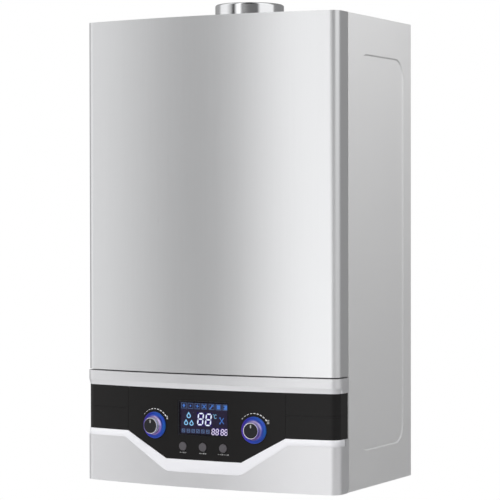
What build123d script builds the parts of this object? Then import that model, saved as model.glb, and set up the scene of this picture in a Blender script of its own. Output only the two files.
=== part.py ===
from build123d import *
from math import asin, cos, sin, sqrt
import os

# A wall-hung gas boiler: a steel case with a bowed front cover, and a control section under it that
# swings down. Millimetres. X runs to the right, Y into the wall, Z up. While it is modelled, the wall
# is at Y = 0 and the case stands on Z = 0. At the end it is moved so that the origin is on the wall,
# midway between the two fixing holes of the wall bracket.

# Case
case_width = 450
case_height = 740
case_depth = 280
front_bow = 20
corner_radius = 15
sheet = 1.0
seam_setback = 37
seam_gap = 1.0
flange_width = 14
fit = 0.3
running_fit = 0.1
close_fit = 0.05

# Wall bracket and back frame
bracket_length = 260
bracket_width = 40
bracket_thickness = 3
fixing_from_top = 30
fixing_height = case_height - fixing_from_top
fixing_spacing = 200
fixing_hole_radius = 4.2
hook_spacing = 120
hook_width = 30
hook_rise = 12
hook_thickness = 2.5
wall_gap = 6.5
frame_thickness = 1.5
frame_edge = 5
uprights_inset = 23.5
upright_spacing = case_width - 2 * uprights_inset
upright_depth = 64
spacer_radius = 10
spacer_spacing = 300
spacer_height = 60

# Embossed field of the side panels
field_rear = 30.7
field_front = 78.3
field_width = case_depth - field_rear - field_front
field_bottom = 58
field_from_top = 60
field_top = case_height - field_from_top
field_radius = 30
field_depth = 2
field_draft = 2

# Flue
flue_from_wall = 140
collar_radius = 56
collar_bore = 50.5
collar_height = 30
collar_lip = 3
collar_flange_radius = 72
collar_flange_thickness = 2
collar_screw_circle = 64
collar_screw_count = 4
flue_radius = 31.5
flue_wall = 1.3
flue_drop = 5

# Pegs and clips that hold the cover
peg_radius = 3
peg_length = 20
peg_inset = 8.5
peg_margin = 50
clip_width = 10
clip_grip = 9

# Control section
control_height = 177.5
control_gap = 2.0
control_proud = 1.5
strip_bottom = 163
band_top = 154.6
band_bottom = 83.8
band_inset = 0.5
fascia_thickness = 2.5
moulding_wall = 2.5
bevel_end_setback = 12
centre_half_width = 141
centre_foot_half_width = 67
centre_foot = 43.4
cap_gap = 0.4
groove_height = 119.7
groove_width = 0.6
groove_depth = 0.6
trim_end_bottom = 73.4
trim_shoulder = 146
trim_foot = 23.5
trim_foot_radius = 14
trim_proud = 0.6
trim_end_setback = 24

# Display
window_width = 91.5
window_height = 54
window_centre = 109
window_fit = 0.2
window_recess = 0.5
screen_width = 86
screen_height = 50
board_setback = 2
board_face = case_depth - board_setback
board_thickness = 1.6
board_half_width = 125
board_bottom = 30
board_top = 150

# Knobs
knob_x = 89
knob_height = 95
ring_radius = 21
ring_rise = 2.5
ring_bore = 14
sleeve_radius = 15
sleeve_wall = 2
sleeve_depth = 7
skirt_radius = 17
neck_radius = 12.6
neck_height = 10
knob_rise = 13
rim_width = 0.9
cap_thickness = 1.5
cap_rise = 0.2
hub_radius = 6
hub_depth = 4
spindle_radius = 3
spindle_depth = 16
encoder_radius = 9
encoder_front = 7
encoder_back = 17.4

# Buttons
button_radius = 6.6
button_pitch = 36
button_height = 64.4
button_proud = 1.2
button_travel = 1.2
button_flange_radius = 8.5
button_flange = 1.5
button_stem_radius = 2.5
switch_rise = 6

# Rear housing of the control section, and its hinge
housing_inset = 20
housing_half_width = case_width / 2 - housing_inset
housing_bottom = 14
housing_top = 168
housing_setback = 8
housing_depth = 31
housing_front = case_depth - housing_setback
housing_rear = housing_front - housing_depth
housing_wall = 2
hinge_setback = case_depth - seam_setback
hinge_height = 5
hinge_pin_radius = 2
hinge_lug_radius = 4.5
hinge_relief = 5
hinge_lug_thickness = 3
hinge_ear_gap = 0.5
hinge_ear = 2
boss_radius = 4
boss_inset = 10
boss_x = housing_half_width - boss_inset
boss_heights = (26, 156)
screw_radius = 1.5
screw_head_radius = 3.2
screw_head = 2
screw_bite = 6

# Bottom plate and connections
plate_bottom = 2
plate_thickness = 1.2
plate_setback = 61
plate_front = case_depth - plate_setback
connection_pitch = 65
connection_from_wall = 95
connection_drop = 18
large_stub_radius = 13.2
small_stub_radius = 10.5
stub_wall = 2.5
hole_fit = 0.8
nut_radius = 17
lock_nut = 4
block_bottom = 18
block_depth = 34
gland_inset = 45
gland_x = case_width / 2 - gland_inset
gland_from_wall = 60
gland_radius = 10
gland_bore = 4
gland_drop = 8
gland_rise = 8

# Sealed chamber
chamber_inset = 45
chamber_from_top = 480
chamber_setback = 46
chamber_half_width = case_width / 2 - chamber_inset
chamber_bottom = case_height - chamber_from_top
chamber_front = case_depth - chamber_setback
duct_inset = 55
duct_gap = 14
duct_half_width = chamber_half_width - duct_inset
duct_front = chamber_front - duct_gap
duct_back = 80
burner_lift = 40
burner_depth = 30
burner_bottom = chamber_bottom + burner_lift
burner_top = burner_bottom + burner_depth
burner_wall = 6
blade_count = 12
blade_thickness = 8
insulation_thickness = 12
electrode_radius = 4
electrode_lift = 15
exchanger_lift = 170
exchanger_height = 60
exchanger_bottom = chamber_bottom + exchanger_lift
exchanger_top = exchanger_bottom + exchanger_height
fin_count = 24
fin_gap = 5
fin_depth = 45
hood_height = 55
hood_top = exchanger_top + hood_height
plenum_depth = 30
cover_screw_inset = 6

# Fan
fan_x = -28
fan_from_top = 115
fan_height = case_height - fan_from_top
fan_radius = 60
fan_width = 50
fan_wall = 2
impeller_radius = 50
impeller_width = 38
vane_count = 24
inlet_radius = 34
outlet_lift = 40
outlet_height = 40
outlet_bottom = fan_height + outlet_lift
outlet_top = outlet_bottom + outlet_height
flue_grip = 20
fan_motor_radius = 32
fan_motor_length = 35
fan_shaft_radius = 4

# Pipes, pump and valves
pipe_radius = 9
pipe_wall = 1
pipe_bend = 20
riser_gap = 25
riser_x = duct_half_width + riser_gap
riser_from_wall = 110
riser_height = exchanger_bottom + exchanger_height / 2
pump_x = 2 * connection_pitch
pump_height = 110
volute_radius = 45
volute_front = 125
volute_back = 80
pump_motor_radius = 42
pump_gap = 4
pump_motor_front = plate_front - pump_gap
pump_wall = 3
rotor_radius = 32
rotor_width = 14
rotor_shaft_radius = 5
pump_inlet_radius = 14
pump_vent_radius = 9
pump_vent_offset = 25
pump_vent_height = 75
pump_socket_height = 60
pump_socket_grip = 10
socket_wall = 3
rotor_clearance = 10
return_block_top = 40
flow_block_top = 60
gas_valve_top = 125
gas_valve_half_width = 38
gas_valve_front = 160
gas_pipe_radius = 8
gas_pipe_from_wall = 125
switch_radius = 30
switch_thickness = 12
switch_cap_radius = 24
switch_cap_thickness = 10
switch_below_top = 140
switch_from_wall = 150
switch_port_radius = 3
switch_port_length = 8
igniter_width = 26
igniter_height = 55
igniter_gap = 29
igniter_depth = 55
igniter_front = chamber_front - igniter_gap
igniter_back = igniter_front - igniter_depth
igniter_plug = 10
manifold_depth = 12
manifold_height = 16
vessel_inset = 70
vessel_height = 410
vessel_from_top = 40
vessel_half_width = case_width / 2 - vessel_inset
vessel_top = case_height - vessel_from_top
vessel_bottom = vessel_top - vessel_height
vessel_front = 66
vessel_back = 14
vessel_radius = 20
vessel_neck = 12
vessel_pipe_bend = 8
vessel_pipe_radius = 4.5
vessel_pipe_x = 100
plate_exchanger_half_width = 95
plate_exchanger_front = 74
plate_exchanger_back = 24
plate_exchanger_bottom = 22
plate_exchanger_top = 92
tap_x = 98
tap_stem_radius = 4
tap_handle_radius = 11
relief_radius = 10
relief_length = 23
relief_cap_radius = 13
relief_cap_length = 18
stem_x = -95
stem_radius = 3
stem_travel = 8
diverter_half_width = 20
diverter_front = 22
diverter_back = 18
diverter_height = 55
stem_above_block = 22

# Worked out from the sizes above
half_width = case_width / 2
inner_half = half_width - sheet
front_radius = (half_width**2 + front_bow**2) / (2 * front_bow)
front_centre = front_radius - case_depth - front_bow
seam = -(case_depth - seam_setback) - seam_gap / 2
panel_front = seam + seam_gap
cover_bottom = control_height + control_gap
band_offset = -band_inset
recess_offset = band_offset - fascia_thickness
inner_offset = recess_offset - moulding_wall
frame_back = -wall_gap
frame_front = frame_back - frame_thickness
plate_top = plate_bottom + plate_thickness
upright_front = frame_front - upright_depth
chamber_back = upright_front
chamber_top = case_height - sheet
far = 2 * case_width


def block(x0, x1, y0, y1, z0, z1):
    """A box between two corners."""
    centre = Pos((x0 + x1) / 2, (y0 + y1) / 2, (z0 + z1) / 2)
    return centre * Box(abs(x1 - x0), abs(y1 - y0), abs(z1 - z0))


def upright_rod(radius, x, y, z0, z1):
    return Pos(x, y, (z0 + z1) / 2) * Cylinder(radius, abs(z1 - z0))


def depth_rod(radius, x, z, y0, y1):
    return Pos(x, (y0 + y1) / 2, z) * Rot(90, 0, 0) * Cylinder(radius, abs(y1 - y0))


def cross_rod(radius, y, z, x0, x1):
    return Pos((x0 + x1) / 2, y, z) * Rot(0, 90, 0) * Cylinder(radius, abs(x1 - x0))


def pipe(points, radius, wall, bend):
    """A tube of straight runs joined by arcs."""
    path = FilletPolyline(*points, radius=bend)
    ring = Circle(radius) - Circle(radius - wall)
    return sweep(Plane(origin=path @ 0, z_dir=path % 0) * ring, path=path)


def plan(offset):
    """The outline of the bowed front from above, moved outwards by offset."""
    half = half_width + offset
    radius = front_radius + offset
    side = front_centre - sqrt(radius**2 - half**2)
    outline = Polyline((-half, side), (-half, seam), (half, seam), (half, side))
    outline += ThreePointArc((half, side), (0, front_centre - radius), (-half, side))
    face = make_face(outline)
    return fillet(face.vertices().sort_by(Axis.Y)[:2], corner_radius + offset)


def front_slab(offset, bottom, top):
    return Pos(0, 0, bottom) * extrude(plan(offset), amount=top - bottom, dir=(0, 0, 1))


def front_layer(inner, outer, bottom, top):
    return front_slab(outer, bottom, top) - front_slab(inner, bottom, top)


def front_prism(face):
    """A face drawn in X and Z, carried through the whole front."""
    return extrude(Plane.XZ * face, amount=far, both=True)


def front_normal(x):
    """A plane on the outer face of the black band, facing squarely out of the bowed front."""
    turn = asin(x / front_radius)
    return lambda height: Plane(
        origin=(
            (front_radius + band_offset) * sin(turn),
            front_centre - (front_radius + band_offset) * cos(turn),
            height,
        ),
        x_dir=(cos(turn), sin(turn), 0),
        z_dir=(sin(turn), -cos(turn), 0),
    )


def knob_plane(side):
    return front_normal(side * knob_x)(knob_height)


def along(plane, radius, back, front):
    """A rod square to a plane, from depth back to depth front."""
    return plane * Pos(0, 0, (back + front) / 2) * Cylinder(radius, front - back)


def surface(x, offset):
    """Y of the bowed front at x."""
    return front_centre - sqrt((front_radius + offset) ** 2 - x**2)


def mirrored(shape):
    return mirror(shape, about=Plane.YZ)


nodes = {}


def wall_bracket():
    bottom = fixing_height - bracket_width / 2
    plate = block(-bracket_length / 2, bracket_length / 2, -bracket_thickness, 0, bottom, bottom + bracket_width)
    for side in (-1, 1):
        plate -= depth_rod(fixing_hole_radius, side * fixing_spacing / 2, fixing_height, -far, far)
        left = side * hook_spacing / 2 - hook_width / 2
        reach = frame_front - hook_thickness * 2
        seat = fixing_height + hook_rise
        plate += block(left, left + hook_width, reach, -bracket_thickness, seat - hook_thickness, seat)
        plate += block(left, left + hook_width, reach, reach + hook_thickness, seat - hook_thickness, seat + hook_rise)
    return plate


def wall_spacers():
    rods = [
        depth_rod(spacer_radius, side * spacer_spacing / 2, spacer_height, frame_back, 0) for side in (-1, 1)
    ]
    return Compound(children=rods)


def back_frame():
    top = chamber_top
    plate = block(-inner_half, inner_half, frame_front, frame_back, frame_edge, top)
    for side in (-1, 1):
        centre = side * hook_spacing / 2
        seat = fixing_height + hook_rise
        plate -= block(
            centre - hook_width / 2 - 2, centre + hook_width / 2 + 2, -far, far, seat - hook_rise * 1.5, seat
        )
        outer = side * upright_spacing / 2
        plate += block(outer, outer - side * frame_thickness, upright_front, frame_front, frame_edge, top)
    return plate


def side_panel(side):
    """The right-hand panel, mirrored for the left."""
    outer = half_width
    panel = block(inner_half, outer, panel_front, 0, 0, case_height)
    panel += block(inner_half - flange_width, inner_half, panel_front, panel_front + sheet, 0, chamber_top)
    rear_flange = block(inner_half - flange_width, inner_half, frame_back, frame_back + sheet, frame_edge, chamber_top)
    panel += rear_flange
    lip_inner = inner_half - fit - sheet
    lip_bottom = cover_bottom + sheet + fit
    lip_top = chamber_top - flange_width
    panel += block(lip_inner, inner_half, panel_front, panel_front + flange_width, lip_bottom, lip_top)
    panel += block(lip_inner, inner_half - fit, panel_front - flange_width, panel_front, lip_bottom, lip_top)
    centre_y = -(field_rear + field_width / 2)
    centre_z = (field_bottom + field_top) / 2
    height = field_top - field_bottom
    grow = 2 * sheet
    backing = RectangleRounded(field_width + grow, height + grow, field_radius + sheet)
    panel += Plane(origin=(outer - field_depth - sheet, centre_y, centre_z), x_dir=(0, 1, 0), z_dir=(1, 0, 0)) * extrude(
        backing, amount=field_depth
    )
    wide = Plane(origin=(outer, centre_y, centre_z), x_dir=(0, 1, 0), z_dir=(1, 0, 0)) * RectangleRounded(
        field_width, height, field_radius
    )
    narrow = Plane(
        origin=(outer - field_depth, centre_y, centre_z), x_dir=(0, 1, 0), z_dir=(1, 0, 0)
    ) * RectangleRounded(field_width - 2 * field_draft, height - 2 * field_draft, field_radius - field_draft)
    panel -= loft([narrow, wide], ruled=True)
    return panel if side > 0 else mirrored(panel)


def top_plate():
    plate = block(-inner_half, inner_half, panel_front, frame_back, chamber_top, case_height)
    plate += block(
        -inner_half + flange_width, inner_half - flange_width, panel_front, panel_front + sheet,
        chamber_top - flange_width, chamber_top,
    )
    plate -= upright_rod(collar_bore, 0, -flue_from_wall, 0, far)
    for place in collar_screw_places():
        plate -= place * Cylinder(screw_radius + close_fit, 2 * far)
    return plate


def stub_places():
    """X and radius of the five connections: heating flow, hot water, gas, cold water, heating return."""
    radii = (large_stub_radius, small_stub_radius, large_stub_radius, small_stub_radius, large_stub_radius)
    return [((index - 2) * connection_pitch, radius) for index, radius in enumerate(radii)]


def bottom_plate():
    plate = block(-inner_half, inner_half, -plate_front, frame_front, plate_bottom, plate_top)
    for x, radius in stub_places():
        plate -= upright_rod(radius + hole_fit, x, -connection_from_wall, -far, far)
    plate -= upright_rod(tap_stem_radius * 2, tap_x, -connection_from_wall, -far, far)
    plate -= upright_rod(gland_radius - 2, gland_x, -gland_from_wall, -far, far)
    ear_inner = housing_half_width + hinge_ear_gap
    for side in (-1, 1):
        ear_outer = side * (ear_inner + hinge_ear)
        ear = block(
            side * ear_inner, ear_outer, -hinge_setback, -plate_front + hinge_lug_radius,
            plate_bottom, hinge_height + hinge_lug_radius,
        )
        ear += cross_rod(hinge_lug_radius, -hinge_setback, hinge_height, side * ear_inner, ear_outer)
        plate += ear - cross_rod(hinge_pin_radius, -hinge_setback, hinge_height, -far, far)
    return plate


def flue_collar():
    base = case_height
    tube = upright_rod(collar_radius, 0, -flue_from_wall, base, base + collar_height)
    tube = fillet(tube.edges().sort_by(Axis.Z)[-1], collar_lip)
    tube += upright_rod(collar_flange_radius, 0, -flue_from_wall, base, base + collar_flange_thickness)
    tube -= upright_rod(collar_bore, 0, -flue_from_wall, 0, far)
    for place in collar_screw_places():
        tube -= place * Cylinder(screw_radius + close_fit, 2 * far)
    return tube


def collar_screw_places():
    return [
        Pos(0, -flue_from_wall, 0) * Rot(0, 0, (step + 0.5) * 360 / collar_screw_count) * Pos(collar_screw_circle, 0, 0)
        for step in range(collar_screw_count)
    ]


def chamber_screw_places():
    heights = (chamber_bottom + 40, (chamber_bottom + chamber_top) / 2, chamber_top - 40)
    return [(side * (chamber_half_width + cover_screw_inset), height) for side in (-1, 1) for height in heights]


def case_screws():
    under = case_height + collar_flange_thickness
    screws = []
    for place in collar_screw_places():
        head = place * Pos(0, 0, under + screw_head / 2) * Cylinder(screw_head_radius, screw_head)
        shank = place * Pos(0, 0, under - screw_bite / 2) * Cylinder(screw_radius, screw_bite)
        screws.append(head + shank)
    face = -chamber_front - sheet
    for x, z in chamber_screw_places():
        head = depth_rod(screw_head_radius, x, z, face - screw_head, face)
        shank = depth_rod(screw_radius, x, z, face, face + screw_bite)
        screws.append(head + shank)
    return Compound(children=screws)


def flue_pipe():
    top = case_height + collar_height - flue_drop
    bottom = outlet_top - flue_grip
    tube = upright_rod(flue_radius, 0, -flue_from_wall, bottom, top)
    return tube - upright_rod(flue_radius - flue_wall, 0, -flue_from_wall, 0, far)


def cable_gland():
    y = -gland_from_wall
    body = upright_rod(gland_radius, gland_x, y, plate_bottom - gland_drop, plate_bottom)
    body += upright_rod(gland_radius - 2 - close_fit, gland_x, y, plate_bottom, plate_top)
    body += upright_rod(gland_radius, gland_x, y, plate_top, plate_top + gland_rise)
    return body - upright_rod(gland_bore, gland_x, y, -far, far)


def peg_places():
    heights = (cover_bottom + peg_margin, case_height - peg_margin)
    return [(side * (inner_half - peg_inset), height) for side in (-1, 1) for height in heights]


def cover_pegs():
    pegs = [depth_rod(peg_radius, x, z, panel_front - peg_length, panel_front) for x, z in peg_places()]
    return Compound(children=pegs)


def cover_clips():
    tip = panel_front - peg_length
    inside = front_slab(-sheet, cover_bottom + sheet, case_height - sheet)
    clips = []
    for x, z in peg_places():
        clip = block(x - clip_width / 2, x + clip_width / 2, -far, tip + clip_grip, z - clip_width, z + clip_width)
        clip -= depth_rod(peg_radius + running_fit, x, z, tip - fit, 0)
        clips.append((clip & inside).solid())
    return Compound(children=clips)


def front_cover():
    return front_slab(0, cover_bottom, case_height) - front_slab(-sheet, cover_bottom + sheet, case_height - sheet)


def band_outline(side_reach):
    """The black band with the deeper centre that hangs from it, in X and Z."""
    return Polygon(
        (-side_reach, band_top), (side_reach, band_top), (side_reach, band_bottom),
        (centre_half_width, band_bottom), (centre_foot_half_width, centre_foot),
        (-centre_foot_half_width, centre_foot), (-centre_half_width, band_bottom), (-side_reach, band_bottom),
        align=None,
    )


def trim_outline():
    """The white trim under the band, in X and Z."""
    reach = far / 2
    outer = Polygon(
        (-reach, band_bottom), (-reach, trim_end_bottom), (-trim_shoulder, trim_end_bottom),
        (-centre_foot_half_width, trim_foot), (centre_foot_half_width, trim_foot),
        (trim_shoulder, trim_end_bottom), (reach, trim_end_bottom), (reach, band_bottom),
        align=None,
    )
    feet = outer.vertices().sort_by(Axis.Y)[:2]
    return fillet(feet, trim_foot_radius) - band_outline(reach)


def trim_space():
    front = -(case_depth - trim_end_setback)
    return front_prism(trim_outline()) & block(-far, far, -far, front, 0, control_height)


def bevel_space():
    """The wedge cut away above the band, up to the strip."""
    front = -(case_depth - bevel_end_setback)
    low = Pos(0, 0, band_top) * plan(band_offset)
    high = Pos(0, 0, strip_bottom) * plan(control_proud)
    wedge = front_layer(recess_offset, control_proud + 1, band_top, strip_bottom) - loft([low, high], ruled=True)
    return wedge & block(-far, far, -far, front, 0, control_height)


def display_opening(width, height, inner, outer):
    low = window_centre - height / 2
    return front_layer(inner, outer, low, low + height) & block(-width / 2, width / 2, -far, 0, low, low + height)


def button_places():
    return [step * button_pitch for step in (-1, 0, 1)]


def control_front():
    shell = front_slab(control_proud, 0, control_height)
    band_zone = block(-far, far, -far, 0, band_bottom, band_top)
    behind = front_slab(recess_offset, 0, control_height)
    shell -= (band_zone + front_prism(band_outline(centre_half_width))) - behind
    shell -= trim_space() - behind
    shell -= bevel_space()
    shell -= front_slab(inner_offset, moulding_wall, control_height - moulding_wall)
    thin = control_proud - moulding_wall
    shell -= front_slab(thin, moulding_wall, trim_foot - moulding_wall)
    shell -= front_slab(thin, strip_bottom + moulding_wall, control_height - moulding_wall)
    inside = front_slab(inner_offset, moulding_wall, control_height - moulding_wall)
    ear_zone = housing_half_width - hinge_lug_thickness - 2 * hinge_ear
    for side in (-1, 1):
        shell -= block(side * ear_zone, side * far, seam - hinge_relief, 0, -far, hinge_height)
        for height in boss_heights:
            boss = depth_rod(boss_radius, side * boss_x, height, -far, -housing_front) & inside
            boss -= depth_rod(screw_radius, side * boss_x, height, -housing_front - screw_bite, 0)
            shell += boss
        shell -= along(knob_plane(side), sleeve_radius + fit, -far / 10, far / 10)
    for x in button_places():
        shell -= depth_rod(button_radius + fit, x, button_height, -far, -board_face)
    low = window_centre - screen_height / 2
    return shell - block(
        -screen_width / 2 - 1, screen_width / 2 + 1, -far, -board_face, low - 1, low + screen_height + 1
    )


def fascia_center():
    half = centre_half_width - cap_gap / 2
    outline = Polygon(
        (-half, band_top), (half, band_top), (half, band_bottom), (centre_foot_half_width, centre_foot),
        (-centre_foot_half_width, centre_foot), (-half, band_bottom), align=None,
    )
    plate = front_prism(outline) & front_layer(recess_offset, band_offset, centre_foot, band_top)
    plate -= display_opening(window_width, window_height, recess_offset - 1, control_proud)
    for side in (-1, 1):
        plate -= along(knob_plane(side), sleeve_radius + fit, -far / 10, far / 10)
    for x in button_places():
        plate -= depth_rod(button_radius + fit, x, button_height, -far, 0)
    return plate


def fascia_end(side):
    start = centre_half_width + cap_gap / 2
    cap = front_layer(recess_offset, band_offset, band_bottom, band_top)
    cap &= block(start, far, -far, seam - seam_gap, 0, control_height)
    low = groove_height - groove_width / 2
    cap -= front_layer(band_offset - groove_depth, control_proud, low, low + groove_width)
    return cap if side > 0 else mirrored(cap)


def fascia_trim():
    return trim_space() & front_layer(recess_offset, trim_proud, trim_foot, band_bottom)


def display_window():
    size = (window_width - 2 * window_fit, window_height - 2 * window_fit)
    return display_opening(*size, recess_offset, band_offset - window_recess)


def display_module():
    low = window_centre - screen_height / 2
    front = surface(screen_width / 2, recess_offset) + fit
    return block(-screen_width / 2, screen_width / 2, front, -board_face, low, low + screen_height)


def control_board():
    back = -board_face + board_thickness
    board = block(-board_half_width, board_half_width, -board_face, back, board_bottom, board_top)
    for x in button_places():
        board += block(x - 4, x + 4, -board_face - switch_rise, -board_face, button_height - 4, button_height + 4)
    for side in (-1, 1):
        for height in (board_bottom + 8, board_top - 8):
            board += depth_rod(boss_radius, side * (board_half_width - 8), height, back, -housing_rear - housing_wall)
    return board


def control_housing():
    tray = block(
        -housing_half_width, housing_half_width, -housing_front, -housing_rear, housing_bottom, housing_top
    )
    inner = housing_half_width - housing_wall
    tray -= block(
        -inner, inner, -far, -housing_rear - housing_wall, housing_bottom + housing_wall, housing_top - housing_wall
    )
    for side in (-1, 1):
        inner_face = side * (housing_half_width - hinge_lug_thickness)
        outer_face = side * housing_half_width
        tray += cross_rod(hinge_lug_radius, -hinge_setback, hinge_height, inner_face, outer_face)
        tray += block(
            inner_face, outer_face, -hinge_setback - hinge_lug_radius, -hinge_setback,
            hinge_height, housing_bottom + housing_wall,
        )
        tray -= cross_rod(hinge_pin_radius + close_fit, -hinge_setback, hinge_height, -far, far)
        for height in boss_heights:
            post = depth_rod(boss_radius, side * boss_x, height, -housing_front, -housing_rear)
            tray += post - depth_rod(screw_radius + close_fit, side * boss_x, height, -far, 0)
            tray -= depth_rod(screw_radius + close_fit, side * boss_x, height, -far, 0)
    return tray


def panel_screws():
    screws = []
    for side in (-1, 1):
        for height in boss_heights:
            shank = depth_rod(screw_radius, side * boss_x, height, -housing_front - screw_bite, -housing_rear)
            head = depth_rod(screw_head_radius, side * boss_x, height, -housing_rear, -housing_rear + screw_head)
            screws.append(shank + head)
    return Compound(children=screws)


def hinge_pins():
    pins = []
    ear_inner = housing_half_width + hinge_ear_gap
    for side in (-1, 1):
        start = side * (housing_half_width - hinge_lug_thickness)
        end = side * (ear_inner + hinge_ear)
        pin = cross_rod(hinge_pin_radius, -hinge_setback, hinge_height, start, end)
        pin += cross_rod(hinge_pin_radius + 2, -hinge_setback, hinge_height, end, end + side * 1.5)
        pins.append(pin)
    return Compound(children=pins)


def knob_ring(side):
    plane = knob_plane(side)
    ring = along(plane, ring_radius, 0, ring_rise)
    ring = chamfer(ring.edges().group_by(lambda edge: plane.to_local_coords(edge.center()).Z)[-1], ring_rise / 2)
    ring += along(plane, sleeve_radius, -sleeve_depth, ring_rise / 2)
    ring -= along(plane, sleeve_radius - sleeve_wall, -far / 10, ring_rise / 2)
    return ring - along(plane, ring_bore, -fit, far / 10)


def encoder(side):
    plane = knob_plane(side)
    body = along(plane, encoder_radius, -encoder_back, -encoder_front)
    return body - along(plane, spindle_radius + running_fit, -spindle_depth - fit, 0)


def knob(side):
    base = ring_rise + fit
    outline = Polyline(
        (neck_radius, neck_height), (neck_radius, knob_rise), (neck_radius - rim_width, knob_rise),
        (neck_radius - rim_width, knob_rise - cap_thickness), (0, knob_rise - cap_thickness),
        (0, -spindle_depth), (spindle_radius, -spindle_depth), (spindle_radius, -hub_depth),
        (hub_radius, -hub_depth), (hub_radius, neck_height - 1), (neck_radius - 2, neck_height - 1),
        (skirt_radius - 1.5, base), (skirt_radius, base),
    )
    outline += SagittaArc((skirt_radius, base), (neck_radius, neck_height), 0.8)
    body = revolve(make_face(Plane.XZ * outline), axis=Axis.Z)
    return knob_plane(side) * body


def knob_cap(side):
    low = knob_rise - cap_thickness
    cap = along(knob_plane(side), neck_radius - rim_width - close_fit, low, knob_rise + cap_rise)
    return cap


def button(x):
    face = surface(x, band_offset) - button_proud
    back = surface(abs(x) + button_flange_radius, inner_offset) + fit
    cap = depth_rod(button_radius, x, button_height, face, back + button_flange)
    cap += depth_rod(button_flange_radius, x, button_height, back, back + button_flange)
    stem_end = -board_face - switch_rise - button_travel - running_fit
    return cap + depth_rod(button_stem_radius, x, button_height, back, stem_end)


def combustion_chamber():
    half = chamber_half_width
    box = block(-half, half, -chamber_front, chamber_back, chamber_bottom, chamber_top)
    box -= block(-half + sheet, half - sheet, -far, chamber_back - sheet, chamber_bottom + sheet, chamber_top - sheet)
    ear = upright_spacing / 2
    box += block(-ear, ear, chamber_back - sheet, chamber_back, chamber_bottom, chamber_top)
    edge = half + 2 * cover_screw_inset
    rim = block(-edge, edge, -chamber_front, -chamber_front + sheet, chamber_bottom, chamber_top)
    rim -= block(-half + sheet, half - sheet, -far, 0, chamber_bottom + sheet, chamber_top - sheet)
    box += rim
    box -= upright_rod(collar_bore, 0, -flue_from_wall, chamber_top - 2 * sheet, far)
    for place in collar_screw_places():
        box -= place * Pos(0, 0, chamber_top) * Cylinder(screw_radius + close_fit, 4 * sheet)
    for side in (-1, 1):
        box -= upright_rod(pipe_radius + hole_fit, side * riser_x, -riser_from_wall, 0, chamber_bottom + 2 * sheet)
    box -= upright_rod(gas_pipe_radius + hole_fit, 0, manifold_y(), 0, chamber_bottom + 2 * sheet)
    for x, z in chamber_screw_places():
        box -= depth_rod(screw_radius + close_fit, x, z, -far, 0)
    return box


def chamber_cover():
    edge = chamber_half_width + 2 * cover_screw_inset
    plate = block(-edge, edge, -chamber_front - sheet, -chamber_front, chamber_bottom, chamber_top - flange_width)
    for x, z in chamber_screw_places():
        plate -= depth_rod(screw_radius + close_fit, x, z, -far, 0)
    return plate


def manifold_y():
    return -duct_front - manifold_depth / 2


def duct_ring(wall, bottom, top):
    ring = block(-duct_half_width, duct_half_width, -duct_front, -duct_back, bottom, top)
    return ring - block(
        -duct_half_width + wall, duct_half_width - wall, -duct_front + wall, -duct_back - wall, bottom, top
    )


def burner():
    frame = duct_ring(burner_wall, burner_bottom, burner_top)
    inner = duct_half_width - burner_wall
    pitch = 2 * inner / blade_count
    for index in range(blade_count):
        x = -inner + pitch * (index + 0.5)
        frame += block(
            x - blade_thickness / 2, x + blade_thickness / 2, -duct_front + burner_wall, -duct_back - burner_wall,
            burner_bottom, burner_top - burner_wall,
        )
    for side in (-1, 1):
        outer = side * duct_half_width
        frame += block(outer, outer - side * burner_wall, -duct_back, chamber_back - sheet, burner_bottom, burner_top)
    return frame


def electrode_places():
    return (-30, -15, 40)


def chamber_insulation():
    ring = duct_ring(insulation_thickness, burner_top, exchanger_bottom)
    for x in electrode_places():
        ring -= depth_rod(electrode_radius, x, burner_top + electrode_lift, -far, -duct_front + insulation_thickness * 2)
    split = duct_half_width - insulation_thickness
    sides = block(-split, split, -far, 0, 0, far)
    panels = list((ring - sides).solids()) + list((ring & sides).solids())
    return Compound(children=panels)


def electrodes():
    rods = []
    for x in electrode_places():
        height = burner_top + electrode_lift
        front = -duct_front - 2 * electrode_radius
        rod = depth_rod(electrode_radius, x, height, front, -duct_front + insulation_thickness * 3 / 2)
        rod += depth_rod(
            electrode_radius / 4, x, height, -duct_front + insulation_thickness, -duct_front + 3 * insulation_thickness
        )
        rods.append(rod)
    return Compound(children=rods)


def gas_manifold():
    half = duct_half_width - burner_wall
    bar = block(-half, half, -duct_front - manifold_depth, -duct_front, burner_bottom, burner_bottom + manifold_height)
    return bar - block(
        -half + 2, half - 2, -duct_front - manifold_depth + 2, -duct_front - 2,
        burner_bottom + 2, burner_bottom + manifold_height - 2,
    )


def heat_exchanger():
    body = block(-duct_half_width, duct_half_width, -duct_front, -duct_back, exchanger_bottom, exchanger_top)
    inner = duct_half_width - insulation_thickness
    pitch = 2 * inner / fin_count
    for index in range(fin_count):
        x = -inner + pitch * (index + 0.5)
        body -= block(
            x - fin_gap / 2, x + fin_gap / 2, -duct_front + insulation_thickness, -duct_back - insulation_thickness,
            exchanger_bottom, exchanger_bottom + fin_depth,
        )
    return body


def riser(side, bottom):
    """The heating pipe from the exchanger's side down through the chamber floor."""
    x = side * riser_x
    y = -riser_from_wall
    points = ((side * duct_half_width, y, riser_height), (x, y, riser_height), (x, y, bottom))
    return pipe(points, pipe_radius, pipe_wall, pipe_bend)


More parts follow.
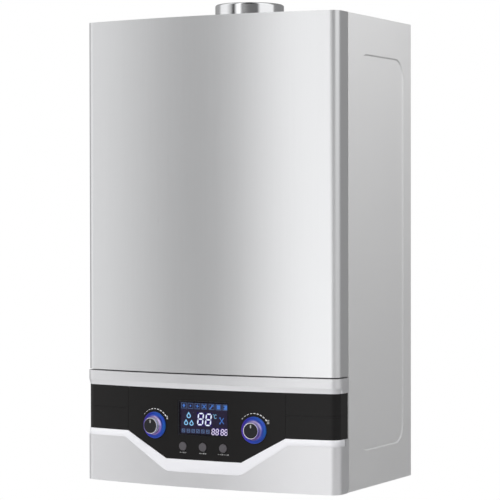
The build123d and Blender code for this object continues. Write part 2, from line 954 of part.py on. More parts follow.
def flue_hood():
    hood = block(-duct_half_width, duct_half_width, -duct_front, -duct_back, exchanger_top, hood_top)
    hood -= block(
        -duct_half_width + fan_wall, duct_half_width - fan_wall, -duct_front + fan_wall, -duct_back - fan_wall,
        exchanger_top, hood_top - fan_wall,
    )
    front = -flue_from_wall + fan_width / 2
    x0 = fan_x - fan_radius
    x1 = fan_x + fan_radius
    top = fan_height + inlet_radius + 2 * fan_wall
    hood += block(x0, x1, front, front + plenum_depth, hood_top - fan_wall, top)
    hood -= block(
        x0 + fan_wall, x1 - fan_wall, front + fan_wall, front + plenum_depth - fan_wall, exchanger_top, top - fan_wall
    )
    return hood - depth_rod(inlet_radius, fan_x, fan_height, front - 1, front + fan_wall * 2)


def fan_housing():
    y0 = -flue_from_wall - fan_width / 2
    y1 = -flue_from_wall + fan_width / 2
    socket = flue_radius + fan_wall
    neck = flue_radius - fan_wall
    body = depth_rod(fan_radius, fan_x, fan_height, y0, y1)
    body += block(-socket, socket, y0, y1, fan_height, outlet_bottom + fan_wall)
    body += upright_rod(socket, 0, -flue_from_wall, outlet_bottom, outlet_top)
    body -= depth_rod(fan_radius - fan_wall, fan_x, fan_height, y0 + fan_wall, y1 - fan_wall)
    body -= block(-neck, neck, y0 + fan_wall, y1 - fan_wall, fan_height, outlet_bottom + 2 * fan_wall)
    body -= upright_rod(flue_radius + running_fit, 0, -flue_from_wall, outlet_bottom + fan_wall, far)
    body -= depth_rod(inlet_radius, fan_x, fan_height, y1 - fan_wall * 2, y1 + 1)
    return body - depth_rod(fan_shaft_radius + running_fit, fan_x, fan_height, y0 - 1, y1)


def fan_motor():
    back = -flue_from_wall - fan_width / 2
    motor = depth_rod(fan_motor_radius, fan_x, fan_height, back - fan_motor_length, back)
    return motor - depth_rod(fan_shaft_radius + running_fit, fan_x, fan_height, back - fan_motor_length + 4, back + 1)


def fan_impeller():
    y = -flue_from_wall
    half = impeller_width / 2
    wheel = depth_rod(impeller_radius, fan_x, fan_height, y - half, y - half + fan_wall)
    ring = depth_rod(impeller_radius, fan_x, fan_height, y + half - fan_wall, y + half)
    wheel += ring - depth_rod(impeller_radius - 8, fan_x, fan_height, y, y + half + 1)
    for step in range(vane_count):
        vane = Box(6, impeller_width - 2, 1.2)
        turn = Pos(fan_x, y, fan_height) * Rot(0, step * 360 / vane_count, 0) * Pos(impeller_radius - 4, 0, 0)
        wheel += turn * vane
    start = y - fan_width / 2 - fan_motor_length + 5
    return wheel + depth_rod(fan_shaft_radius, fan_x, fan_height, start, y - half + fan_wall)


def air_pressure_switch():
    face = chamber_half_width + switch_thickness
    cap = face + switch_cap_thickness
    height = case_height - switch_below_top
    body = cross_rod(switch_radius, -switch_from_wall, height, chamber_half_width, face)
    body += cross_rod(switch_cap_radius, -switch_from_wall, height, face, cap)
    port_y = -switch_from_wall - switch_cap_radius / 2
    return body + cross_rod(switch_port_radius, port_y, height, cap, cap + switch_port_length)


def spark_generator():
    x = -chamber_half_width
    middle = burner_bottom + igniter_height / 2
    body = block(x - igniter_width, x, -igniter_front, -igniter_back, burner_bottom, burner_bottom + igniter_height)
    return body + block(
        x - igniter_width * 3 / 4, x - igniter_width / 4, -igniter_front - igniter_plug, -igniter_front,
        middle - igniter_plug, middle + igniter_plug,
    )


def hexagon(x, z0, z1):
    nut = extrude(RegularPolygon(nut_radius, 6), amount=z1 - z0)
    return Pos(x, -connection_from_wall, z0) * nut


def hollow_stub(x, radius, top):
    """A threaded connection below the case, held to the bottom plate between two hexagons."""
    stub = upright_rod(radius, x, -connection_from_wall, -connection_drop, top)
    stub += hexagon(x, plate_top, block_bottom)
    return stub + hexagon(x, plate_bottom - lock_nut, plate_bottom)


def stub_bore(x, radius, top):
    return upright_rod(radius - stub_wall, x, -connection_from_wall, -far, top)


def return_block():
    places = stub_places()
    front = -connection_from_wall - block_depth / 2
    back = -connection_from_wall + block_depth / 2
    body = block(places[3][0] - 15, places[4][0] + 15, front, back, block_bottom, return_block_top)
    for x, radius in places[3:]:
        body += hollow_stub(x, radius, block_bottom)
    for x, radius in places[3:]:
        body -= stub_bore(x, radius, return_block_top - 6)
    body += depth_rod(8, plate_exchanger_half_width - 20, 31, back, -plate_exchanger_front)
    middle = (block_bottom + return_block_top) / 2
    body += depth_rod(relief_radius, tap_x, middle, front, front - relief_length)
    body -= depth_rod(tap_stem_radius + running_fit, tap_x, middle, front - far, front)
    return body - upright_rod(tap_stem_radius + running_fit, tap_x, -connection_from_wall, 0, middle)


def flow_block():
    places = stub_places()
    front = -connection_from_wall - block_depth / 2
    back = -connection_from_wall + block_depth / 2
    left = min(-riser_x - pipe_radius - socket_wall, -2 * connection_pitch - nut_radius)
    body = block(left, places[1][0] + 15, front, back, block_bottom, flow_block_top)
    for x, radius in places[:2]:
        body += hollow_stub(x, radius, block_bottom)
    for x, radius in places[:2]:
        body -= stub_bore(x, radius, flow_block_top - 10)
    body += depth_rod(8, -plate_exchanger_half_width + 20, 31, back, -plate_exchanger_front)
    body += upright_rod(
        pipe_radius + socket_wall, -riser_x, -riser_from_wall, flow_block_top - 20, flow_block_top + 30
    )
    body -= upright_rod(pipe_radius + close_fit, -riser_x, -riser_from_wall, flow_block_top + 10, far)
    seat = block_bottom + 8
    body -= upright_rod(stem_radius * 3, stem_x, -connection_from_wall, seat, seat + 24)
    return body - upright_rod(stem_radius + running_fit, stem_x, -connection_from_wall, seat, far)


def diverter_stem():
    y = -connection_from_wall
    head = block_bottom + 11
    stem = upright_rod(stem_radius, stem_x, y, head, flow_block_top + stem_above_block)
    return stem + upright_rod(stem_radius * 3 - 1, stem_x, y, head, head + 4)


def diverter_motor():
    y = -connection_from_wall
    body = block(
        stem_x - diverter_half_width, stem_x + diverter_half_width, y - diverter_front, y + diverter_back,
        flow_block_top, flow_block_top + diverter_height,
    )
    room = flow_block_top + stem_above_block + stem_travel + stem_radius
    return body - upright_rod(stem_radius + running_fit, stem_x, y, 0, room)


def pump_body():
    body = depth_rod(volute_radius, pump_x, pump_height, -volute_front, -volute_back)
    body += depth_rod(pump_motor_radius, pump_x, pump_height, -pump_motor_front, -volute_front)
    body += upright_rod(pump_inlet_radius, pump_x, -connection_from_wall, return_block_top, pump_height)
    socket_top = pump_height + pump_socket_height
    body += upright_rod(pipe_radius + socket_wall, riser_x, -riser_from_wall, pump_height, socket_top)
    vent_y = -(volute_front + volute_back) / 2
    body += upright_rod(
        pump_vent_radius, pump_x - pump_vent_offset, vent_y, pump_height, pump_height + pump_vent_height
    )
    body -= upright_rod(
        pipe_radius + close_fit, riser_x, -riser_from_wall, socket_top - pump_socket_grip, far
    )
    body -= depth_rod(
        volute_radius - 3 * pump_wall, pump_x, pump_height, -volute_front + pump_wall, -volute_back - pump_wall
    )
    body -= depth_rod(
        pump_motor_radius - rotor_clearance, pump_x, pump_height, -pump_motor_front + 4 * pump_wall,
        -volute_front - pump_wall,
    )
    return body - depth_rod(
        rotor_shaft_radius + running_fit, pump_x, pump_height, -pump_motor_front + pump_wall,
        -volute_front + pump_wall * 2,
    )


def pump_rotor():
    middle = -(volute_front + volute_back) / 2
    rotor = depth_rod(rotor_radius, pump_x, pump_height, middle - rotor_width / 2, middle + rotor_width / 2)
    rotor -= depth_rod(rotor_radius / 3, pump_x, pump_height, middle, middle + rotor_width)
    rotor += depth_rod(rotor_shaft_radius, pump_x, pump_height, -pump_motor_front + pump_wall + 1, middle)
    magnet = pump_motor_radius - rotor_clearance - 4
    return rotor + depth_rod(
        magnet, pump_x, pump_height, -pump_motor_front + 6 * pump_wall, -volute_front - 4 * pump_wall
    )


def relief_cap():
    middle = (block_bottom + return_block_top) / 2
    face = -connection_from_wall - block_depth / 2 - relief_length - fit
    cap = depth_rod(relief_cap_radius, tap_x, middle, face - relief_cap_length, face)
    grip = block(
        tap_x - 2, tap_x + 2, face - relief_cap_length - 3, face - relief_cap_length,
        middle - relief_cap_radius + 2, middle + relief_cap_radius - 2,
    )
    return cap + grip + depth_rod(tap_stem_radius, tap_x, middle, face, face + relief_length - 4)


def filling_tap():
    y = -connection_from_wall
    middle = (block_bottom + return_block_top) / 2
    top = plate_bottom - 5
    handle = upright_rod(tap_handle_radius, tap_x, y, top - 8, top)
    handle += block(tap_x - 3, tap_x + 3, y - tap_handle_radius - 3, y + tap_handle_radius + 3, top - 12, top)
    return handle + upright_rod(tap_stem_radius, tap_x, y, top, middle - 1)


def plate_exchanger():
    half = plate_exchanger_half_width
    body = block(
        -half, half, -plate_exchanger_front, -plate_exchanger_back, plate_exchanger_bottom, plate_exchanger_top
    )
    for step in range(1, 9):
        y = -plate_exchanger_front + step * (plate_exchanger_front - plate_exchanger_back) / 9
        groove = block(-half, half, y - 1, y + 1, plate_exchanger_bottom, plate_exchanger_top)
        body -= groove - block(-half + 1.5, half - 1.5, -far, far, plate_exchanger_bottom + 1.5, plate_exchanger_top - 1.5)
    for side in (-1, 1):
        body += block(side * 60, side * 75, -plate_exchanger_back, frame_front, 40, 70)
    return body


def expansion_vessel():
    half = vessel_half_width
    body = block(-half, half, -vessel_front, -vessel_back, vessel_bottom, vessel_top)
    body = fillet(body.edges().filter_by(Axis.Y), vessel_radius)
    middle = (vessel_bottom + vessel_top) / 2
    pad = vessel_height / 4
    body += block(-pad, pad, -vessel_back, frame_front, middle - pad, middle + pad)
    y = -(vessel_front + vessel_back) / 2
    return body + upright_rod(vessel_pipe_radius + 2, vessel_pipe_x, y, vessel_bottom - vessel_neck, vessel_bottom)


def vessel_pipe():
    x = vessel_pipe_x
    back = -(vessel_front + vessel_back) / 2
    front = -connection_from_wall + 9
    turn = return_block_top + pipe_bend
    points = ((x, back, vessel_bottom - vessel_neck), (x, back, turn), (x, front, turn), (x, front, return_block_top))
    return pipe(points, vessel_pipe_radius, pipe_wall, vessel_pipe_bend)


def gas_valve():
    y = -connection_from_wall
    half = gas_valve_half_width
    body = block(-half, half, -gas_valve_front, y + 5, 45, gas_valve_top - 10)
    body += upright_rod(large_stub_radius, 0, y - 15, 30, 45)
    body += upright_rod(gas_pipe_radius + 4, 0, -gas_pipe_from_wall, gas_valve_top - 10, gas_valve_top)
    body += hollow_stub(0, large_stub_radius, 46)
    body -= stub_bore(0, large_stub_radius, 60)
    for side in (-1, 1):
        body += depth_rod(13, side * 18, 85, -gas_valve_front - 28, -gas_valve_front)
    return body


def gas_pipe():
    y = -gas_pipe_from_wall
    end = manifold_y()
    turn = (gas_valve_top + burner_bottom) / 2
    points = ((0, y, gas_valve_top), (0, y, turn), (0, end, turn), (0, end, burner_bottom))
    return pipe(points, gas_pipe_radius, pipe_wall, pipe_bend)


nodes["wall_bracket"] = wall_bracket()
nodes["wall_spacers"] = wall_spacers()
nodes["back_frame"] = back_frame()
nodes["side_panel_left"] = side_panel(-1)
nodes["side_panel_right"] = side_panel(1)
nodes["top_plate"] = top_plate()
nodes["bottom_plate"] = bottom_plate()
nodes["case_screws"] = case_screws()
nodes["flue_collar"] = flue_collar()
nodes["flue_pipe"] = flue_pipe()
nodes["cable_gland"] = cable_gland()
nodes["cover_pegs"] = cover_pegs()
nodes["cover_clips"] = cover_clips()
nodes["front_cover"] = front_cover()
nodes["control_front"] = control_front()
nodes["control_housing"] = control_housing()
nodes["control_board"] = control_board()
nodes["panel_screws"] = panel_screws()
nodes["hinge_pins"] = hinge_pins()
nodes["fascia_center"] = fascia_center()
nodes["fascia_ends"] = Compound(children=[fascia_end(-1), fascia_end(1)])
nodes["fascia_trim"] = fascia_trim()
nodes["display_window"] = display_window()
nodes["display_module"] = display_module()
nodes["knob_rings"] = Compound(children=[knob_ring(-1), knob_ring(1)])
nodes["encoders"] = Compound(children=[encoder(-1), encoder(1)])
for side, name in ((-1, "left"), (1, "right")):
    nodes["knob_" + name] = knob(side)
    nodes["knob_cap_" + name] = knob_cap(side)
for x, name in zip(button_places(), ("left", "middle", "right")):
    nodes["button_" + name] = button(x)
nodes["combustion_chamber"] = combustion_chamber()
nodes["chamber_cover"] = chamber_cover()
nodes["chamber_insulation"] = chamber_insulation()
nodes["burner"] = burner()
nodes["gas_manifold"] = gas_manifold()
nodes["electrodes"] = electrodes()
nodes["spark_generator"] = spark_generator()
nodes["heat_exchanger"] = heat_exchanger()
nodes["flue_hood"] = flue_hood()
nodes["fan_housing"] = fan_housing()
nodes["fan_impeller"] = fan_impeller()
nodes["fan_motor"] = fan_motor()
nodes["air_pressure_switch"] = air_pressure_switch()
riser_ends = (flow_block_top + 10, pump_height + pump_socket_height - pump_socket_grip)
nodes["heating_pipes"] = Compound(children=[riser(side, end) for side, end in zip((-1, 1), riser_ends)])
nodes["flow_block"] = flow_block()
nodes["return_block"] = return_block()
nodes["diverter_motor"] = diverter_motor()
nodes["diverter_stem"] = diverter_stem()
nodes["pump_body"] = pump_body()
nodes["pump_rotor"] = pump_rotor()
nodes["relief_cap"] = relief_cap()
nodes["filling_tap"] = filling_tap()
nodes["plate_exchanger"] = plate_exchanger()
nodes["expansion_vessel"] = expansion_vessel()
nodes["vessel_pipe"] = vessel_pipe()
nodes["gas_valve"] = gas_valve()
nodes["gas_pipe"] = gas_pipe()

os.makedirs("parts", exist_ok=True)
for name, shape in nodes.items():
    export_step(Pos(0, 0, -fixing_height) * shape, f"parts/{name}.step")
print(len(nodes), "nodes")
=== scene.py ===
from math import asin, cos, pi, radians, sin, sqrt

import bmesh
import bpy
from mathutils import Matrix, Vector

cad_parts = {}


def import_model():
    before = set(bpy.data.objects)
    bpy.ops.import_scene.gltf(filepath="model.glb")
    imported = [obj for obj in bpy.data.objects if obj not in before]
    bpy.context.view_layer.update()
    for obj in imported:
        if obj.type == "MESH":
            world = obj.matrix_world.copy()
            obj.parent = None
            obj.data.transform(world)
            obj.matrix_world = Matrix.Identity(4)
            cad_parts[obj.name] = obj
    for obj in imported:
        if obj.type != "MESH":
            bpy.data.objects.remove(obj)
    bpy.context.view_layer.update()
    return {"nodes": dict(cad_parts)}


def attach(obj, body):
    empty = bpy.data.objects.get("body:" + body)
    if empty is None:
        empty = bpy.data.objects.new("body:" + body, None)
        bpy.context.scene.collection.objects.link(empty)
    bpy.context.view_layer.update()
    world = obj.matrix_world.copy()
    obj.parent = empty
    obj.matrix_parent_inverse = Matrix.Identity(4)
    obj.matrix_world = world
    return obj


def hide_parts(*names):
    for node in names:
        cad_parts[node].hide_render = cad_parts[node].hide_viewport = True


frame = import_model()

# The boiler hangs on a wall at y = 0, faces -y, and z = 0 is the height of its two fixing holes.
# Sizes are in millimetres, as in the part, and heights are from the bottom of the case.
MM = 0.001
FIXING_HEIGHT = 710
HALF_WIDTH = 225

# The front is bowed: an arc about a point behind the wall, with a small round at each side.
FRONT_RADIUS = 1275.625
FRONT_CENTRE = 975.625
CORNER_RADIUS = 15

# How far the black band and the silver moulding stand off that arc, and the lower edge of the band.
BAND = -0.5
MOULDING = 1.5
BAND_BOTTOM = 83.8
CENTRE_HALF_WIDTH = 141
CENTRE_FOOT_HALF_WIDTH = 67
CENTRE_FOOT = 43.4

# The white bevel that follows the band's lower edge.
BEVEL_END_BOTTOM = 73.4
BEVEL_SHOULDER = 146
BEVEL_FOOT = 23.5
BEVEL_END_DEPTH = 256    # how far from the wall its two ends are
BEVEL_BEND = 6.2         # how far each side of the foot the bend begins
BEVEL_BEND_STEPS = 4
BEVEL_BACK = 2.8         # how far behind the arc its back lies
BEVEL_SLICE = 4

# The knobs, the bounds of the painted reflections on their skirts, and the print round them. Turns are in degrees.
KNOB_X = 89
KNOB_HEIGHT = 95
KNOB_RISE = 13.2         # from the black band to the face of the cap
SKIRT_EDGE = 14.2
SKIRT_EDGE_FADE = 1.6
NECK_EDGE = 12.45
NECK_EDGE_FADE = 0.45
SCALE_RADIUS = 26.0
SCALE_STROKES = 9
SCALE_FIRST = -48
SCALE_STEP = 12.4
SCALE_STROKE_TURN = 7.2
SIGN_OFFSET = 23.6

BUTTON_HEIGHT = 64.4
BUTTON_PITCH = 36
BUTTON_SIGN_DROP = 10
BUTTON_SIGN_PITCH = 3.4

# The lit screen behind the window. Its face is measured from the wall, and the figures lie just in front.
SCREEN_WIDTH = 86
SCREEN_HEIGHT = 50
SCREEN_MIDDLE = 109
SCREEN_FACE = 295.97
SEGMENT_LIFT = 0.1

# The floor, in metres.
FLOOR_LEVEL = -1.5
FLOOR_SIZE = 2.4


def level(height):
    """Height in metres from the fixing holes, of a height in millimetres from the bottom of the case."""
    return (height - FIXING_HEIGHT) * MM


# Shading tools

class Value:
    """A socket whose numbers can be added, subtracted, multiplied and divided."""

    def __init__(self, shading, socket):
        self.shading = shading
        self.socket = socket

    def maths(self, operation, *others):
        """A Math node of this operation, fed with this value and the others in turn."""
        return self.shading.node("ShaderNodeMath", {"operation": operation}, dict(enumerate((self, *others))))

    def __add__(self, other):
        return self.maths("ADD", other)

    def __radd__(self, other):
        return self.maths("ADD", other)

    def __sub__(self, other):
        return self.maths("SUBTRACT", other)

    def __rsub__(self, other):
        return self.shading.node("ShaderNodeMath", {"operation": "SUBTRACT"}, {0: other, 1: self})

    def __mul__(self, other):
        return self.maths("MULTIPLY", other)

    def __rmul__(self, other):
        return self.maths("MULTIPLY", other)

    def __truediv__(self, other):
        return self.maths("DIVIDE", other)


class Shading:
    """The nodes of one material, or of the world."""

    def __init__(self, owner):
        owner.use_nodes = True
        self.tree = owner.node_tree
        self.tree.nodes.clear()

    def node(self, kind, settings=None, inputs=None, output=0):
        """Adds a node. Its settings come first, then a number, a colour or a Value for each socket."""
        made = self.tree.nodes.new(kind)
        for name, setting in (settings or {}).items():
            if name == "stops":
                ramp = made.color_ramp
                while len(ramp.elements) < len(setting):
                    ramp.elements.new(0.5)
                for element, (place, _) in zip(ramp.elements, setting):
                    element.position = place
                for element, (_, colour) in zip(ramp.elements, setting):
                    element.color = (*colour, 1)
            elif name == "interpolation":
                made.color_ramp.interpolation = setting
            else:
                setattr(made, name, setting)
        for name, value in (inputs or {}).items():
            if isinstance(value, Value):
                self.tree.links.new(value.socket, made.inputs[name])
            elif isinstance(value, tuple) and len(value) == 3 and made.inputs[name].type == "RGBA":
                made.inputs[name].default_value = (*value, 1)
            else:
                made.inputs[name].default_value = value
        return Value(self, made.outputs[output]) if made.outputs else None

    def place(self, centre=(0, 0, 0), turn=(0, 0, 0), scale=(1, 1, 1)):
        """Object coordinates about a centre, in metres, then turned and stretched."""
        where = self.node("ShaderNodeTexCoord", output=3)
        shift = tuple(-c for c in centre)
        moved = self.node("ShaderNodeVectorMath", {"operation": "ADD"}, {0: where, 1: shift})
        return self.node("ShaderNodeMapping", None, {"Vector": moved, "Rotation": turn, "Scale": scale})

    def parts(self, vector):
        """The x, y and z of a vector."""
        made = self.node("ShaderNodeSeparateXYZ", None, {0: vector})
        return [Value(self, socket) for socket in made.socket.node.outputs]

    def fade(self, value, start, end, first=0, last=1):
        """Runs from first at start to last at end, and stays there beyond them."""
        return self.node("ShaderNodeMapRange", {"clamp": True}, {"Value": value, 1: start, 2: end, 3: first, 4: last})

    def noise(self, scale, stretch=(1, 1, 1), detail=3, roughness=0.5):
        return self.node("ShaderNodeTexNoise", None, {
            "Vector": self.place(scale=stretch), "Scale": scale, "Detail": detail, "Roughness": roughness,
        })

    def cells(self, scale):
        """A colour for each cell of an even scatter."""
        return self.node("ShaderNodeTexVoronoi", None, {"Vector": self.place(), "Scale": scale}, output=1)

    def ramp(self, factor, stops, interpolation="EASE"):
        return self.node("ShaderNodeValToRGB", {"stops": stops, "interpolation": interpolation}, {0: factor})

    def mix(self, factor, first, second):
        return self.node("ShaderNodeMix", {"data_type": "RGBA"}, {0: factor, 6: first, 7: second}, 2)

    def bump(self, height, strength, distance):
        return self.node("ShaderNodeBump", None, {"Height": height, "Strength": strength, "Distance": distance})

    def surface(self, shader):
        self.node("ShaderNodeOutputMaterial", None, {"Surface": shader})

    def principled(self, sockets):
        """Ends the material in one Principled shader."""
        self.surface(self.node("ShaderNodeBsdfPrincipled", None, sockets))


FINISH = {}


def finish(name):
    """Starts a material, keeps it under its name, and gives back its nodes."""
    FINISH[name] = bpy.data.materials.new(name)
    return Shading(FINISH[name])


def darker(colour, share):
    """The colour with this share of its brightness left."""
    return tuple(part * share for part in colour)


# Finishes

def brushed_metal(name, colour, grain, roughness, depth=0.25, metallic=1.0, tint=0.05):
    """Metal with a fine straight grain. grain stretches the pattern along the strokes."""
    s = finish(name)
    strokes = s.noise(2600, grain, 4, 0.6)
    patches = s.noise(7, (1, 1, 1), 2)
    dark = darker(colour, 1 - tint)
    s.principled({
        "Base Color": s.mix(strokes, dark, colour),
        "Metallic": metallic,
        "Roughness": roughness + (strokes - 0.5) * 0.12 + (patches - 0.5) * 0.05,
        "Normal": s.bump(strokes, depth, 0.00002),
    })


def painted_metal(name, colour, roughness=0.35, peel=0.15, metallic=0.0, specular=0.5):
    """Stoved paint with a faint orange peel and slight cloudiness."""
    s = finish(name)
    skin = s.noise(420, detail=2)
    cloud = s.noise(5, detail=3)
    dark = darker(colour, 0.965)
    s.principled({
        "Base Color": s.mix(cloud, dark, colour),
        "Metallic": metallic,
        "Specular IOR Level": specular,
        "Roughness": roughness + (cloud - 0.5) * 0.08,
        "Normal": s.bump(skin, peel, 0.00008),
    })


def moulded(name, colour, roughness=0.45, grain=900, depth=0.12, specular=0.4, metallic=0.0, tint=0.06):
    """Moulded plastic with a fine spark-eroded grain."""
    s = finish(name)
    texture = s.noise(grain, detail=2)
    cloud = s.noise(14, detail=3)
    dark = darker(colour, 1 - tint)
    s.principled({
        "Base Color": s.mix(cloud, dark, colour),
        "Metallic": metallic,
        "Specular IOR Level": specular,
        "Roughness": roughness + (texture - 0.5) * 0.1 + (cloud - 0.5) * 0.06,
        "Normal": s.bump(texture, depth, 0.00005),
    })


def spangled_zinc(name, colour):
    """Hot-dip galvanised sheet with its crystal pattern."""
    s = finish(name)
    crystals = s.cells(95)
    grey = s.parts(crystals)[0]
    streaks = s.noise(30, detail=4)
    s.principled({
        "Base Color": s.mix(grey, darker(colour, 0.86), colour),
        "Metallic": 0.9,
        "Roughness": 0.34 + (grey - 0.5) * 0.12 + (streaks - 0.5) * 0.12,
        "Normal": s.bump(grey * 0.6 + streaks * 0.4, 0.12, 0.0001),
    })


def cast_metal(name, colour, roughness=0.42, lumps=160, depth=0.5, metallic=0.95, worn=0.12):
    """Sand-cast or die-cast metal, grainy and slightly stained."""
    s = finish(name)
    grain = s.noise(lumps, detail=5, roughness=0.65)
    stain = s.noise(22, detail=4)
    s.principled({
        "Base Color": s.mix(stain, darker(colour, 1 - worn), colour),
        "Metallic": metallic,
        "Roughness": roughness + (stain - 0.5) * 0.2,
        "Normal": s.bump(grain, depth, 0.00015),
    })


def heated_copper(name):
    """Copper that darkens and turns blue-brown in patches where it has been hot."""
    s = finish(name)
    patches = s.noise(26, detail=4)
    drawn = s.noise(700, (1, 1, 0.06), 3)
    tone = s.ramp(patches, [(0.3, (0.42, 0.17, 0.09)), (0.5, (0.78, 0.4, 0.26)), (0.72, (0.88, 0.52, 0.36))])
    s.principled({
        "Base Color": tone,
        "Metallic": 1.0,
        "Roughness": 0.3 + (patches - 0.5) * 0.25,
        "Normal": s.bump(drawn, 0.15, 0.00004),
    })


def chrome(name, colour, roughness):
    """Polished metal with a slight haze."""
    s = finish(name)
    haze = s.noise(60, detail=3)
    s.principled({
        "Base Color": s.mix(haze, darker(colour, 0.97), colour),
        "Metallic": 1.0,
        "Roughness": roughness + (haze - 0.5) * 0.05,
    })


def silver_front(name):
    """The bowed cover: silver steel with a very fine upright grain under clear lacquer."""
    s = finish(name)
    strokes = s.noise(1500, (1, 1, 0.012), 4, 0.65)
    wide = s.noise(260, (1, 1, 0.01), 3, 0.6)
    tone = s.mix(strokes * 0.6 + wide * 0.4, (0.74, 0.745, 0.755), (0.8, 0.805, 0.815))
    s.principled({
        "Base Color": tone,
        "Metallic": 0.9,
        "Roughness": 0.3 + (strokes - 0.5) * 0.08 + (wide - 0.5) * 0.05,
        "Normal": s.bump(strokes, 0.08, 0.00002),
        "Coat Weight": 0.12,
        "Coat Roughness": 0.18,
    })


def halo_plastic(name):
    """Blue plastic ring, blue above and below, with painted light on it: a lighter azure on the right and a darker
    violet shade on the left. It glows faintly in the same colours.
    """
    s = finish(name)
    x, _, z = s.parts(s.place())
    side = x.maths("SIGN")
    across = x - side * (KNOB_X * MM)
    rise = z - level(KNOB_HEIGHT)
    turn = across.maths("ARCTAN2", rise) / (2 * pi) + 0.5
    # Painted light by turn round each knob: lighter azure on the right, darker violet shade on the left.
    ring = s.ramp(turn, [
        (0.0, (0.012, 0.05, 0.36)), (0.08, (0.02, 0.025, 0.3)), (0.2, (0.05, 0.02, 0.25)),
        (0.32, (0.03, 0.012, 0.19)), (0.42, (0.012, 0.014, 0.22)), (0.5, (0.004, 0.035, 0.24)),
        (0.6, (0.012, 0.06, 0.3)), (0.66, (0.02, 0.05, 0.34)), (0.76, (0.003, 0.07, 0.28)),
        (0.88, (0.012, 0.05, 0.36)), (1.0, (0.012, 0.05, 0.36)),
    ], "LINEAR")
    s.principled({
        "Base Color": ring,
        "Roughness": 0.3,
        "Specular IOR Level": 0.3,
        "Coat Weight": 0.15,
        "Coat Roughness": 0.15,
        "Emission Color": ring,
        "Emission Strength": 0.25,
    })


def violet_chrome(name, side):
    """Bright chrome of the knob skirt, with the halo's blue and violet painted on it as a reflection by turn round the
    knob, and as a deep blue towards its edge. Near the cap it stays plain chrome.
    """
    s = finish(name)
    x, _, z = s.parts(s.place((side * KNOB_X * MM, 0, level(KNOB_HEIGHT))))
    away = (x * x + z * z).maths("SQRT") / MM
    turn = x.maths("ARCTAN2", z) / (2 * pi) + 0.5
    # Painted reflection of the halo by turn round the knob: lavender above and to the right, deep violet on the left,
    # pink below.
    tint = s.ramp(turn, [
        (0.0, (0.6, 0.38, 0.62)), (0.12, (0.16, 0.12, 0.5)), (0.3, (0.12, 0.08, 0.4)), (0.44, (0.36, 0.26, 0.64)),
        (0.54, (0.72, 0.56, 0.88)), (0.66, (0.66, 0.56, 0.9)), (0.76, (0.4, 0.32, 0.76)),
        (0.88, (0.34, 0.2, 0.64)), (1.0, (0.6, 0.38, 0.62)),
    ], "LINEAR")
    edge = s.fade(away, SKIRT_EDGE, SKIRT_EDGE + SKIRT_EDGE_FADE)
    neck = s.fade(away, NECK_EDGE, NECK_EDGE + NECK_EDGE_FADE, 1, 0)
    # Beyond the skirt's edge the painted reflection turns to the halo's deep blue.
    skirt = s.mix(edge, tint, (0.05, 0.09, 0.5))
    s.principled({
        "Base Color": s.mix(neck, skirt, (0.95, 0.93, 0.96)),
        "Metallic": 0.75,
        "Roughness": 0.3,
    })


def glowing(name, colour, strength, uneven=0.06):
    """Lit segment of the display, slightly uneven as a printed mask is."""
    s = finish(name)
    mask = s.noise(800, detail=2)
    lit = s.mix(mask, darker(colour, 1 - uneven), colour)
    s.principled({
        "Base Color": darker(colour, 0.2),
        "Roughness": 0.5,
        "Specular IOR Level": 0.1,
        "Emission Color": lit,
        "Emission Strength": strength,
    })


def smoked_glass(name):
    """Glossy window: clear over the screen, so that it shows through, and black round it."""
    s = finish(name)
    haze = s.noise(40, detail=2)
    clear = s.node("ShaderNodeBsdfTransparent", None, {"Color": (0.93, 0.92, 0.97)})
    shine = s.node("ShaderNodeBsdfPrincipled", None, {
        "Base Color": (0.01, 0.01, 0.014), "Roughness": 0.08 + haze * 0.05, "Specular IOR Level": 0.5,
        "Alpha": 1.0,
    })
    amount = s.node("ShaderNodeFresnel", None, {"IOR": 1.2})
    x, _, z = s.parts(s.place((0, 0, level(SCREEN_MIDDLE))))
    beside = x.maths("ABSOLUTE").maths("GREATER_THAN", SCREEN_WIDTH / 2 * MM)
    above = z.maths("ABSOLUTE").maths("GREATER_THAN", SCREEN_HEIGHT / 2 * MM)
    border = beside.maths("MAXIMUM", above)
    s.surface(s.node("ShaderNodeMixShader", None, {0: amount.maths("MAXIMUM", border), 1: clear, 2: shine}))


def circuit_board(name):
    """Green lacquer over a grid of tracks."""
    s = finish(name)
    tracks = s.node("ShaderNodeTexBrick", {"offset": 0.5}, {
        "Vector": s.place(turn=(pi / 2, 0, 0)), "Scale": 160, "Color1": (0.02, 0.16, 0.07),
        "Color2": (0.03, 0.2, 0.09), "Mortar": (0.06, 0.32, 0.14), "Mortar Size": 0.03,
    })
    s.principled({"Base Color": tracks, "Roughness": 0.35, "Specular IOR Level": 0.5})


def fibre_board(name):
    """Pressed ceramic fibre, pale and rough."""
    s = finish(name)
    fibres = s.noise(260, (1, 0.3, 1), 6, 0.7)
    s.principled({
        "Base Color": s.mix(fibres, (0.66, 0.63, 0.56), (0.86, 0.84, 0.78)),
        "Roughness": 0.95,
        "Specular IOR Level": 0.1,
        "Normal": s.bump(fibres, 0.8, 0.0004),
    })


def burnt_steel(name):
    """Stainless burner, straw and blue along its top edge where the flame sits."""
    s = finish(name)
    height = s.parts(s.place((0, 0, level(300))))[2] / (30 * MM)
    wander = height + (s.noise(60, detail=3) - 0.5) * 0.4
    tone = s.ramp(wander, [
        (0.3, (0.62, 0.62, 0.62)), (0.62, (0.6, 0.5, 0.32)), (0.8, (0.32, 0.3, 0.42)), (1.0, (0.2, 0.2, 0.24)),
    ])
    s.principled({"Base Color": tone, "Metallic": 1.0, "Roughness": 0.34})


